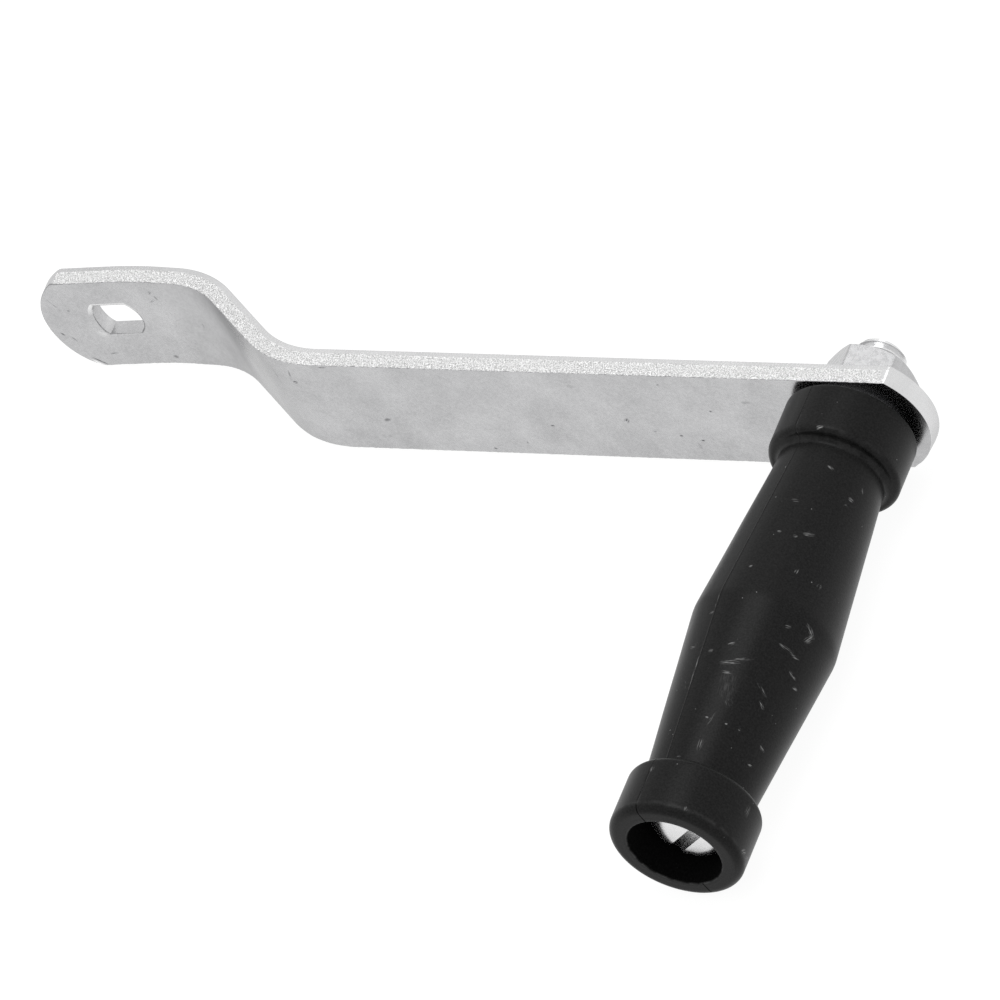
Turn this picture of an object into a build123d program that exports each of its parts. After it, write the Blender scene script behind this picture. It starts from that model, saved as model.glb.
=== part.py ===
from build123d import *

import math
import os

# Crank handle: a joggled flat-bar arm with a double-D hub and a spinning grip.
#
# The origin is on the axis of the double-D hole, at the hub's back face.
# +X runs along the arm to the grip, the grip stands out along -Y, and +Z is
# across the width of the bar.  Sizes are in millimetres and degrees.

# ------------------------------------------------------------------ arm sizes
# flat bar, pierced and cropped, then joggled in a press
bar_width = 30.0
bar_thickness = 5.0
centre_distance = 205.3  # hub hole to grip axis
arm_offset = 23.0  # hub's back face to the arm's back face
ramp_angle = 38.5  # slope of the joggle
hub_tilt = 3.3  # spring-back of the hub from parallel
knee_distance = 59.9  # hole to where the back faces of ramp and arm would meet
knee_bend_radius = 26.0  # inside radius, on the back face
hub_bend_radius = 28.6  # inside radius, on the front face
hub_end_extra = 2.5  # end arc's radius beyond half the bar's width
hub_end_shift = 1.7  # the hub's end arc is centred this far beyond the hole
hub_corner_radius = 1.5
grip_end_extra = 3.8  # the grip's end arc is centred on the axle
grip_corner_radius = 4.0
hole_rise = 0.9  # the holes sit this far above the middle of the bar
hub_hole_diameter = 15.2
hub_hole_flats = 12.0

# ----------------------------------------------------------------- axle sizes
# slotted shoulder screw with its washer and nut
thread_diameter = 12.0
thread_clearance = 0.25  # holes in the arm and the washer, each side
shoulder_diameter = 14.0
head_diameter = 18.0
head_height = 6.5
head_edge_radius = 3.0
slot_width = 3.0
slot_depth = 2.8
slot_offset = 0.9  # the slot is sawn a little off centre
slot_angle = 40.5
screw_projection = 14.7  # threaded end beyond the arm's back face
screw_end_chamfer = 0.95
washer_diameter = 24.0
washer_thickness = 2.0
nut_across_flats = 19.0
nut_height = 9.8
nut_angle = 9.0
nut_chamfer_angle = 30.0
nut_face_ratio = 0.93  # face circle over the width across flats
nut_thread_gap = 0.03

# ----------------------------------------------------------------- grip sizes
grip_length = 119.5
collar_diameter = 31.1
inner_collar_width = 12.9
outer_collar_width = 14.6
neck_diameter = 24.7
middle_diameter = 33.5
middle_blend_radius = 12.0
collar_rim_chamfer = 0.9
end_rim_radius = 2.1
arm_side_rim_chamfer = 0.5
recess_diameter = 21.6
recess_depth = 10.75
recess_chamfer = 0.3
bore_clearance = 0.075  # running fit on the shoulder, each side
end_play = 0.15  # at the washer and at the head, each

# --------------------------------------------------------------- worked sizes
arm_back = -arm_offset
arm_front = arm_back - bar_thickness
bar_middle = -hole_rise
hub_end_radius = bar_width / 2 + hub_end_extra
grip_end_radius = bar_width / 2 + grip_end_extra
ramp_slope = math.tan(math.radians(ramp_angle))
hub_slope = math.tan(math.radians(hub_tilt))
past = bar_width  # length that is certain to pass an end or a face

# stations along the axle, measured out from the arm's front face
grip_start = washer_thickness + end_play
grip_end = grip_start + grip_length
recess_floor = grip_end - recess_depth
head_seat = recess_floor + end_play
head_top = head_seat + head_height
screw_end = -(bar_thickness + screw_projection)

# ---------------------------------------------------------------- work planes
# hub_plane lies in the hub's back face and looks towards the grip's side.
# axle_section holds the axle's half section: x is the radius and y the
# station along the axle.
hub_plane = Plane(
    origin=(0, 0, 0),
    x_dir=(math.cos(math.radians(hub_tilt)), math.sin(math.radians(hub_tilt)), 0),
    z_dir=(math.sin(math.radians(hub_tilt)), -math.cos(math.radians(hub_tilt)), 0),
)
axle_point = Vector(centre_distance, arm_front, 0)
axle_axis = Axis(axle_point, (0, -1, 0))
axle_section = Plane(axle_point, x_dir=(1, 0, 0), z_dir=(0, 0, -1))


def across_axle(station, angle):
    """A plane square to the axle, facing outwards, its x turned by an angle."""
    turn = math.radians(angle)
    return Plane(
        axle_point - Vector(0, station, 0),
        x_dir=(math.cos(turn), 0, math.sin(turn)),
        z_dir=(0, -1, 0),
    )


# ------------------------------------------------------------------------ arm
# The back face is drawn as one line with two bends, and the bar's thickness
# is added on the grip's side of it.
ramp_top_x = (knee_distance * ramp_slope - arm_offset) / (ramp_slope + hub_slope)
hub_reach = hub_end_radius + past
hub_tip = (-hub_reach, -hub_reach * hub_slope)
hub_corner = (ramp_top_x, ramp_top_x * hub_slope)
knee_corner = (knee_distance, arm_back)
grip_tip = (centre_distance + grip_end_radius + past, arm_back)

with BuildPart() as arm:
    with BuildSketch(Plane.XY.offset(bar_middle - bar_width / 2)) as side:
        with BuildLine() as back_line:
            FilletPolyline(
                hub_tip,
                hub_corner,
                knee_corner,
                grip_tip,
                radius=(hub_bend_radius + bar_thickness, knee_bend_radius),
            )
            offset(amount=bar_thickness, side=Side.RIGHT)
        make_face()
    extrude(amount=bar_width)

    # Both ends are cropped to an arc, level with the holes, that meets the
    # edges at a blunt corner.
    with BuildSketch(hub_plane) as hub_crop:
        with Locations((-hub_end_shift, 0)):
            Circle(hub_end_radius)
            Rectangle(2 * centre_distance, 2 * bar_width, align=(Align.MIN, Align.CENTER))
    extrude(amount=centre_distance, both=True, mode=Mode.INTERSECT)

    with BuildSketch(across_axle(0, 0)) as grip_crop:
        Circle(grip_end_radius)
        Rectangle(2 * centre_distance, 2 * bar_width, align=(Align.MAX, Align.CENTER))
    extrude(amount=centre_distance, both=True, mode=Mode.INTERSECT)

    fillet(arm.edges().filter_by(Axis((0, 0, 0), hub_plane.z_dir)), hub_corner_radius)
    fillet(arm.edges().filter_by(Axis.Y), grip_corner_radius)

    # double-D hole for the drive shaft, with its flats along the arm
    with BuildSketch(hub_plane) as hub_hole:
        Circle(hub_hole_diameter / 2)
        Rectangle(2 * hub_hole_diameter, hub_hole_flats, mode=Mode.INTERSECT)
    extrude(amount=2 * bar_thickness, both=True, mode=Mode.SUBTRACT)

    # round hole for the threaded end of the axle
    with BuildSketch(across_axle(0, 0)):
        Circle(thread_diameter / 2 + thread_clearance)
    extrude(amount=2 * bar_thickness, both=True, mode=Mode.SUBTRACT)

# ------------------------------------------------------------------ axle screw
# One turned piece: head, shoulder that the grip spins on, and threaded end.
thread_radius = thread_diameter / 2
screw_outline = [
    (0, screw_end),
    (thread_radius - screw_end_chamfer, screw_end),
    (thread_radius, screw_end + screw_end_chamfer),
    (thread_radius, washer_thickness),
    (shoulder_diameter / 2, washer_thickness),
    (shoulder_diameter / 2, head_seat),
    (head_diameter / 2, head_seat),
    (head_diameter / 2, head_top),
    (0, head_top),
]
with BuildPart() as axle_screw:
    with BuildSketch(axle_section):
        with BuildLine():
            Polyline(screw_outline, close=True)
        make_face()
    revolve(axis=axle_axis)
    top_rim = axle_screw.edges().filter_by(GeomType.CIRCLE).sort_by(Axis.Y)[0]
    fillet(top_rim, head_edge_radius)
    with BuildSketch(across_axle(head_top, slot_angle)):
        with Locations((0, -slot_offset)):
            Rectangle(2 * head_diameter, slot_width)
    extrude(amount=-slot_depth, mode=Mode.SUBTRACT)

# --------------------------------------------------------------- thrust washer
# Clamped between the axle's shoulder and the arm; the grip's end face runs
# against it.
with BuildPart() as thrust_washer:
    with BuildSketch(across_axle(0, 0)):
        Circle(washer_diameter / 2)
        Circle(thread_radius + thread_clearance, mode=Mode.SUBTRACT)
    extrude(amount=washer_thickness)

# -------------------------------------------------------------------- axle nut
# Hexagon nut pulled up against the arm's back face, with both faces turned
# down to a circle.
nut_corner_radius = nut_across_flats / math.sqrt(3)
nut_face_radius = nut_face_ratio * nut_across_flats / 2
nut_inner = -bar_thickness
nut_outer = nut_inner - nut_height
nut_chamfer_drop = (nut_corner_radius - nut_face_radius) * math.tan(math.radians(nut_chamfer_angle))
with BuildPart() as axle_nut:
    with BuildSketch(across_axle(nut_outer, nut_angle)):
        RegularPolygon(nut_across_flats / 2, 6, major_radius=False, rotation=30)
        Circle(thread_radius + nut_thread_gap, mode=Mode.SUBTRACT)
    extrude(amount=nut_height)
    with BuildSketch(axle_section):
        with BuildLine():
            Polyline(
                [
                    (0, nut_outer),
                    (nut_face_radius, nut_outer),
                    (nut_corner_radius, nut_outer + nut_chamfer_drop),
                    (nut_corner_radius, nut_inner - nut_chamfer_drop),
                    (nut_face_radius, nut_inner),
                    (0, nut_inner),
                ],
                close=True,
            )
        make_face()
    revolve(axis=axle_axis, mode=Mode.INTERSECT)

# ------------------------------------------------------------------------ grip
# One moulding turned round the axle: a collar at each end and a double cone
# between them, bored for the shoulder and recessed for the screw's head.
bore_radius = shoulder_diameter / 2 + bore_clearance
collar_radius = collar_diameter / 2
neck_radius = neck_diameter / 2
grip_middle = grip_start + grip_length / 2
inner_step = grip_start + inner_collar_width
outer_step = grip_end - outer_collar_width
with BuildPart() as grip:
    with BuildSketch(axle_section) as grip_half:
        with BuildLine():
            Polyline(
                [
                    (bore_radius, grip_start),
                    (collar_radius, grip_start),
                    (collar_radius, inner_step),
                    (neck_radius, inner_step),
                    (middle_diameter / 2, grip_middle),
                    (neck_radius, outer_step),
                    (collar_radius, outer_step),
                    (collar_radius, grip_end),
                    (recess_diameter / 2, grip_end),
                    (recess_diameter / 2, recess_floor),
                    (bore_radius, recess_floor),
                ],
                close=True,
            )
        make_face()

        def corner(radius, station):
            """The outline's vertex at a radius and a station."""
            return grip_half.vertices().sort_by_distance((radius, station))[0]

        chamfer(corner(collar_radius, grip_start), arm_side_rim_chamfer)
        chamfer([corner(collar_radius, inner_step), corner(collar_radius, outer_step)], collar_rim_chamfer)
        fillet(corner(middle_diameter / 2, grip_middle), middle_blend_radius)
        fillet(corner(collar_radius, grip_end), end_rim_radius)
        chamfer(corner(recess_diameter / 2, grip_end), recess_chamfer)
    revolve(axis=axle_axis)

# ---------------------------------------------------------------------- export
pieces = {
    "arm": arm,
    "thrust_washer": thrust_washer,
    "axle_screw": axle_screw,
    "axle_nut": axle_nut,
    "grip": grip,
}
os.makedirs("parts", exist_ok=True)
for name, piece in pieces.items():
    piece.part.label = name
    export_step(piece.part, f"parts/{name}.step")
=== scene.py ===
import math

import bmesh
import bpy
from mathutils import Matrix, Vector, noise


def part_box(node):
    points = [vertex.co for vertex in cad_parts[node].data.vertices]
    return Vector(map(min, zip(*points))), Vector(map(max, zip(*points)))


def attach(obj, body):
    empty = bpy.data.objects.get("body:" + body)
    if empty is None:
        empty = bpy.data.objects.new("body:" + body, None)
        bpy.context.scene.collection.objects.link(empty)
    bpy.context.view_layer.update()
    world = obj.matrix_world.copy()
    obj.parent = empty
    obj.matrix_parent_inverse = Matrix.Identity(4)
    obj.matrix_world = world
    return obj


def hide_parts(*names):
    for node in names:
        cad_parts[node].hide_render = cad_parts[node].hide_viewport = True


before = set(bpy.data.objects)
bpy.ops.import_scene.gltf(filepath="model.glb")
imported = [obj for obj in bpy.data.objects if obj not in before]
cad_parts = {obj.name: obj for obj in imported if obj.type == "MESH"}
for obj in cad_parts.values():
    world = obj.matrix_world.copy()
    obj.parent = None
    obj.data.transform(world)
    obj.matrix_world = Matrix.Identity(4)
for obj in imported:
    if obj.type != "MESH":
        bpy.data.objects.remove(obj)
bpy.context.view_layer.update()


# ---------------------------------------------------- arm
# 5 mm mild steel strip, slit from the coil, cropped, pierced and joggled in a
# press, then zinc plated.  Its cut edges have a rolled rim and a smooth sheared
# band by the back face; from there forward the long edges are torn metal.
mm = 0.001


def linear(code):
    """The linear colour of an sRGB hex code."""
    levels = [int(code[place:place + 2], 16) / 255 for place in (1, 3, 5)]
    return [
        level / 12.92 if level <= 0.04045 else ((level + 0.055) / 1.055) ** 2.4
        for level in levels
    ] + [1]


def add(tree, kind, inputs=(), **settings):
    """A new node with its settings, and its inputs by name or number.  A Map
    Range has its value at 0, the range it comes from at 1 and 2 and the one
    it goes to at 3 and 4.  A Mix has its share at 0, its colours at 6 and 7."""
    node = tree.nodes.new(kind)
    for key, value in settings.items():
        setattr(node, key, value)
    for key, value in dict(inputs).items():
        if isinstance(value, bpy.types.NodeSocket):
            tree.links.new(value, node.inputs[key])
        else:
            node.inputs[key].default_value = value
    return node


def new_material(name):
    """An empty material with its node tree and its output node."""
    material = bpy.data.materials.new(name)
    material.use_nodes = True
    tree = material.node_tree
    tree.nodes.clear()
    return material, tree, add(tree, "ShaderNodeOutputMaterial")


def finish(name, mesh, materials, body, stands_for, sharp_angle=30):
    """Turns a bmesh in millimetres into a piece that rides on a CAD body."""
    bmesh.ops.scale(mesh, vec=(mm, mm, mm), verts=mesh.verts)
    mesh.normal_update()
    for edge in mesh.edges:
        if edge.calc_face_angle(0) > math.radians(sharp_angle):
            edge.smooth = False
    data = bpy.data.meshes.new(name)
    mesh.to_mesh(data)
    mesh.free()
    for material in materials:
        data.materials.append(material)
    data.polygons.foreach_set("use_smooth", [True] * len(data.polygons))
    piece = bpy.data.objects.new(name, data)
    bpy.context.scene.collection.objects.link(piece)
    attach(piece, body)
    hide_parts(stands_for)


arm_low, arm_high = (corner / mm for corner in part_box("arm"))
washer_low, washer_high = (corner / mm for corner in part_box("thrust_washer"))
thickness = 5.0
arm_front = arm_low.y
arm_back = arm_front + thickness
bar_bottom, bar_top = arm_low.z, arm_high.z
centre_distance = (washer_low.x + washer_high.x) / 2
ramp_turn = math.radians(38.5)
hub_turn = math.radians(4.6)
bow_turn = math.radians(7.0)  # the hub is slightly bowed before its bend
bow_start = 3.0
bow_radius = 110.0
knee_distance = 59.9
knee_radius = 26.0
hub_radius = 23.5 + thickness
hub_end = (-1.7, 17.45, 1.5)  # centre along the bar, radius, corner radius
grip_end = (0.0, 18.75, 1.0)
hub_askew = (1.6, 1.3)  # how far off the hub's crop is, upper and lower corner
grip_askew = (0.4, 0.7)  # and the grip's
askew_from = (-5.0, 6.0)  # it starts this far past the hub's hole and the axle
askew_over = 6.0  # and is full this much further out
hole_radius = 7.6
hole_half_flat = 6.0
axle_hole_radius = 6.25
rolled_rim = 0.5
sheared_band = 1.45  # depth from the back face, the rim included
torn_slope = 0.3  # how far the torn metal falls back by the front face
torn_step = 0.05  # how far it steps in from the sheared band
torn_lumps = ((0.75, 0.12), (0.3, 0.06))  # their width and height
cropped_share = 0.15  # the cropped ends are this much as rough as the slit edges
slit_start = -11.0  # the slit edges run from here, by the hub's crop,
slit_end = 10.2  # to this far past the axle at the back face,
slit_lean = 0.36  # and this much further for each millimetre forward
front_rim = 0.15
hole_back_rim = 0.12
hole_rim = (1.3, 0.8)  # the double-D's front rim is rolled in: across, deep
hole_narrowed = (0.5, 0.9)  # how far its wall stands in, at the back and front
hole_off_centre = (1.2, 0.2)  # how far its left and right arc stand to the right
hole_reach = hole_radius + 0.5  # a point nearer the centre belongs to the hole
grain = 0.42  # size of the facets that the walls are drawn in

# the straight runs and the bends, measured along the back face from the hole
knee = Vector((knee_distance, arm_back))
bow_side = Vector((math.sin(hub_turn), -math.cos(hub_turn))) * bow_radius
bow_foot = Vector((math.cos(hub_turn), math.sin(hub_turn))) * bow_start
bow_tip = bow_foot + bow_side - Matrix.Rotation(-bow_turn, 2) @ bow_side
rise = math.tan(hub_turn - bow_turn)
ramp_rise = math.tan(ramp_turn)
corner_x = (ramp_rise * knee.x + knee.y - bow_tip.y + rise * bow_tip.x) / (ramp_rise + rise)
hub_corner = Vector((corner_x, bow_tip.y + rise * (corner_x - bow_tip.x)))
hub_bend = ramp_turn + hub_turn - bow_turn
hub_tangent = hub_radius * math.tan(hub_bend / 2)
knee_tangent = knee_radius * math.tan(ramp_turn / 2)
bend_1_start = bow_start + bow_radius * bow_turn + (hub_corner - bow_tip).length - hub_tangent
bend_1_end = bend_1_start + hub_radius * hub_bend
bend_2_start = bend_1_end + (knee - hub_corner).length - hub_tangent - knee_tangent
bend_2_end = bend_2_start + knee_radius * ramp_turn
axle_run = bend_2_end + centre_distance - knee.x - knee_tangent


def pressed(point):
    """Where a point of the flat blank is after the joggle is pressed."""
    along, depth, across = point.x, point.y, point.z
    heading = Vector((math.cos(hub_turn), math.sin(hub_turn)))
    place = Vector((0, 0))
    runs = (
        (bow_start, bow_radius, -bow_turn),
        (bend_1_start, hub_radius, -hub_bend),
        (bend_2_start, knee_radius, ramp_turn),
    )
    done = 0
    for start, radius, turn in runs:
        place = place + heading * (min(along, start) - done)
        if along <= start:
            done = along
            break
        swept = min((along - start) / (radius * abs(turn)), 1) * turn
        side = Vector((-heading.y, heading.x)) * math.copysign(radius, turn)
        spin = Matrix.Rotation(swept, 2)
        place = place + side - spin @ side
        heading = spin @ heading
        done = start + radius * abs(swept)
        if abs(swept) < abs(turn):
            break
    if along > done:
        place = place + heading * (along - done)
    place = place + Vector((-heading.y, heading.x)) * depth
    return Vector((place.x, place.y, across))


def arc_on(mesh, tip, centre, turn):
    """Carries an outline on from its last vertex along an arc."""
    length = (tip.co - centre).length * abs(turn)
    steps = max(4, round(length / grain))
    made = bmesh.ops.spin(mesh, geom=[tip], cent=centre, axis=(0, -1, 0), angle=turn, steps=steps)
    return next(item for item in made["geom_last"] if isinstance(item, bmesh.types.BMVert))


def end_outline(mesh, along, end, side):
    """One end's arc with its two blunt corners; side is -1 at the hub."""
    shift, radius, corner = end
    centre = Vector((along + shift, 0, 0))
    marks = []
    for edge in (bar_top, bar_bottom) if side < 0 else (bar_bottom, bar_top):
        level = edge - math.copysign(corner, edge)
        reach = math.sqrt((radius - corner) ** 2 - level ** 2)
        marks.append(Vector((centre.x + side * reach, 0, level)))
    first, last = marks
    first_angle = math.atan2(abs(first.z), abs(first.x - centre.x))
    last_angle = math.atan2(abs(last.z), abs(last.x - centre.x))
    start = tip = mesh.verts.new((first.x, 0, bar_top if side < 0 else bar_bottom))
    tip = arc_on(mesh, tip, first, math.pi / 2 - first_angle)
    tip = arc_on(mesh, tip, centre, first_angle + last_angle)
    tip = arc_on(mesh, tip, last, math.pi / 2 - last_angle)
    return start, tip


blank = bmesh.new()
hub_first, hub_last = end_outline(blank, 0, hub_end, side=-1)
grip_first, grip_last = end_outline(blank, axle_run, grip_end, side=1)
blank.edges.new((hub_last, grip_first))
blank.edges.new((grip_last, hub_first))
flat_half = math.sqrt(hole_radius ** 2 - hole_half_flat ** 2)
flat_angle = math.asin(hole_half_flat / hole_radius)
right_low = blank.verts.new((flat_half, 0, -hole_half_flat))
right_high = arc_on(blank, right_low, Vector((0, 0, 0)), 2 * flat_angle)
left_high = blank.verts.new((-flat_half, 0, hole_half_flat))
left_low = arc_on(blank, left_high, Vector((0, 0, 0)), 2 * flat_angle)
blank.edges.new((right_high, left_high))
blank.edges.new((left_low, right_low))
while straight := [edge for edge in blank.edges if edge.calc_length() > 2 * grain]:
    cuts = round(straight[0].calc_length() / grain) - 1
    bmesh.ops.subdivide_edges(blank, edges=straight[:1], cuts=cuts)
segments = round(2 * math.pi * axle_hole_radius / grain)
ring = bmesh.ops.create_circle(blank, segments=segments, radius=axle_hole_radius)["verts"]
bmesh.ops.rotate(blank, verts=ring, matrix=Matrix.Rotation(math.pi / 2, 3, "X"))
bmesh.ops.translate(blank, verts=ring, vec=(axle_run, 0, 0))


def edge_profile(across, deep, steps):
    """Depth and inset of a rounded rim's levels, from the face outward."""
    angles = [math.pi / 2 * step / steps for step in range(steps + 1)]
    return [(deep * (1 - math.cos(angle)), across * (1 - math.sin(angle))) for angle in angles]


def from_front(profile):
    """The levels of a rim at the front face, from the wall to the face."""
    return [(thickness - depth, inset) for depth, inset in reversed(profile)]


# both walls have the same number of levels, so that one loop draws the two
torn_deep = thickness - sheared_band - front_rim
rows = round(torn_deep / grain)
torn = [(sheared_band + torn_deep * row / rows, 0) for row in range(rows)]
outer_back = edge_profile(rolled_rim, rolled_rim, steps=5)
outer_wall = outer_back + torn + from_front(edge_profile(front_rim, front_rim, steps=3))
hole_back = edge_profile(hole_back_rim, hole_back_rim, steps=2)
hole_front = from_front(edge_profile(*hole_rim, steps=8))
rows = len(outer_wall) - len(hole_back) - len(hole_front)
hole_start, hole_deep = hole_back[-1][0], hole_front[0][0] - hole_back[-1][0]
smooth = [(hole_start + hole_deep * (row + 1) / (rows + 1), 0) for row in range(rows)]
hole_wall = hole_back + smooth + hole_front


def close_face(mesh, edges, toward):
    """Fills an outline with its holes left open."""
    made = bmesh.ops.triangle_fill(mesh, edges=edges, use_beauty=True, normal=(0, toward, 0))
    faces = [item for item in made["geom"] if isinstance(item, bmesh.types.BMFace)]
    bmesh.ops.recalc_face_normals(mesh, faces=faces)
    if sum(face.normal.y * face.calc_area() for face in faces) * toward < 0:
        bmesh.ops.reverse_faces(mesh, faces=faces)
    for edge in edges:
        edge.smooth = False  # the wide faces stay truly flat up to their rims


# how far out each outline point moves for a millimetre of offset, and where
# each point is on the flat blank, which the plating's pattern follows
outward = blank.verts.layers.float_vector.new("outward")
start_place = blank.verts.layers.float_vector.new("blank")
close_face(blank, blank.edges[:], toward=1)
rim = [edge for edge in blank.edges if edge.is_boundary]
sides = {}
for edge in rim:
    loop = edge.link_loops[0]
    along = (loop.link_loop_next.vert.co - loop.vert.co).normalized()
    for vert in edge.verts:
        sides.setdefault(vert, []).append(along.cross(Vector((0, 1, 0))))
for vert, (first, second) in sides.items():
    vert[outward] = (first + second) / (1 + first.dot(second))
    vert[start_place] = vert.co


def slit_side(flat, depth):
    """Whether a point is on one of the two long edges, slit from the coil."""
    end = axle_run + slit_end + slit_lean * depth
    return slit_start < flat.x < end and abs(flat.z) > bar_top - 1


def askew(flat, depth):
    """How far along the bar a point of either end moved in the cropping."""
    hub_from, grip_from = askew_from
    at_hub = min(max((hub_from - flat.x) / askew_over, 0), 1)
    at_grip = min(max((flat.x - axle_run - grip_from) / askew_over, 0), 1)
    high, low = max(flat.z, 0) / bar_top, min(flat.z, 0) / bar_bottom
    upper, lower = hub_askew
    hub_shift = upper * (1 - depth / thickness) * high ** 3 - lower * low ** 2
    upper, lower = grip_askew
    return at_hub * hub_shift + at_grip * (upper * high * (1 - high / 2) - lower * low)


def hole_shift(flat):
    """How far along the bar the double-D's two arcs stand off centre."""
    left, right = hole_off_centre
    return (flat.x / hole_radius) ** 2 * (left if flat.x < 0 else right)


def set_level(verts, level):
    """Puts one level of the wall at its depth, rounding and torn metal in."""
    for vert in verts:
        flat = vert[start_place].copy()
        in_hole = flat.length < hole_reach
        depth, inset = (hole_wall if in_hole else outer_wall)[level]
        torn_share = (depth - sheared_band) / (thickness - sheared_band)
        push = -inset
        if in_hole:
            at_back, at_front = hole_narrowed
            push += at_back + (at_front - at_back) * depth / thickness
        elif torn_share > 0:
            spot = Vector((flat.x, depth, flat.z))
            rough = sum(noise.noise(spot / width) * height for width, height in torn_lumps)
            # at its roughest from a fifth of the way in
            strength = min(1, torn_share * 5) * (1 if slit_side(flat, depth) else cropped_share)
            push += rough * strength - torn_step * strength - torn_slope * torn_share
        shift = Vector((hole_shift(flat) if in_hole else askew(flat, depth), -depth, 0))
        vert.co = flat + vert[outward] * push + shift


def extruded(mesh, rim):
    """Extrudes an open rim: the new vertices and the rim that they make."""
    made = bmesh.ops.extrude_edge_only(mesh, edges=rim)["geom"]
    edges = [item for item in made if isinstance(item, bmesh.types.BMEdge)]
    verts = [item for item in made if isinstance(item, bmesh.types.BMVert)]
    return verts, [edge for edge in edges if edge.is_boundary]


set_level(sides, 0)
for level in range(1, len(outer_wall)):
    verts, rim = extruded(blank, rim)
    set_level(verts, level)
close_face(blank, rim, toward=-1)
bmesh.ops.recalc_face_normals(blank, faces=blank.faces)

# the wide faces are cut across where they bend, and just beyond on each side
beyond = 0.02
bends = (
    (bow_start, bow_radius * bow_turn, 8),
    (bend_1_start, bend_1_end - bend_1_start, 24),
    (bend_2_start, bend_2_end - bend_2_start, 24),
)
for start, length, cuts in bends:
    for share in [-beyond] + [step / cuts for step in range(cuts + 1)] + [1 + beyond]:
        bmesh.ops.bisect_plane(
            blank,
            geom=blank.verts[:] + blank.edges[:] + blank.faces[:],
            plane_co=(start + length * share, 0, 0),
            plane_no=(1, 0, 0),
        )
for face in blank.faces:
    middle = face.calc_center_median()
    from_hole = Vector((middle.x, 0, middle.z)).length
    in_hole = from_hole < hole_reach and abs(face.normal.y) < 0.5
    in_torn_band = sheared_band < -middle.y < thickness - front_rim
    if in_torn_band and slit_side(middle, -middle.y) and not in_hole:
        face.material_index = 1
for vert in blank.verts:
    vert[start_place] = vert.co
    vert.co = pressed(vert.co)


def marks_on(tree, surface, marks, faint, full):
    """How strongly a surface is marked.  Each mark is a group of streaks:
    its place in millimetres, half length, half width, direction in degrees
    and strength.  Faint and full set how much of it the streaks fill."""
    marked = None
    for number, (x, y, length, width, direction, strength) in enumerate(marks):
        local = add(
            tree,
            "ShaderNodeMapping",
            {
                "Vector": surface,
                "Location": (x, y, 0),
                "Rotation": (0, 0, math.radians(direction)),
                "Scale": (length, width, 1),
            },
            vector_type="TEXTURE",
        ).outputs[0]
        reach = add(tree, "ShaderNodeVectorMath", {0: local}, operation="LENGTH").outputs["Value"]
        inside = add(
            tree, "ShaderNodeMapRange", {0: reach, 1: 0.3, 2: 1.0, 3: strength, 4: 0.0}
        ).outputs[0]
        # streaks some 2 mm long and 0.3 mm wide, and other ones in each mark
        lines = add(
            tree,
            "ShaderNodeMapping",
            {
                "Vector": local,
                "Location": (number * 3.1, 0, 0),
                "Scale": (length * 0.5, width * 3.4, 1),
            },
        ).outputs[0]
        streaks = add(
            tree, "ShaderNodeTexNoise", {"Vector": lines, "Scale": 1, "Detail": 1}
        ).outputs[0]
        cut = add(tree, "ShaderNodeMapRange", {0: streaks, 1: faint, 2: full}).outputs[0]
        mark = add(tree, "ShaderNodeMath", {0: inside, 1: cut}, operation="MULTIPLY").outputs[0]
        if marked is not None:
            mark = add(
                tree, "ShaderNodeMath", {0: marked, 1: mark}, operation="MAXIMUM"
            ).outputs[0]
        marked = mark
    return marked


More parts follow.
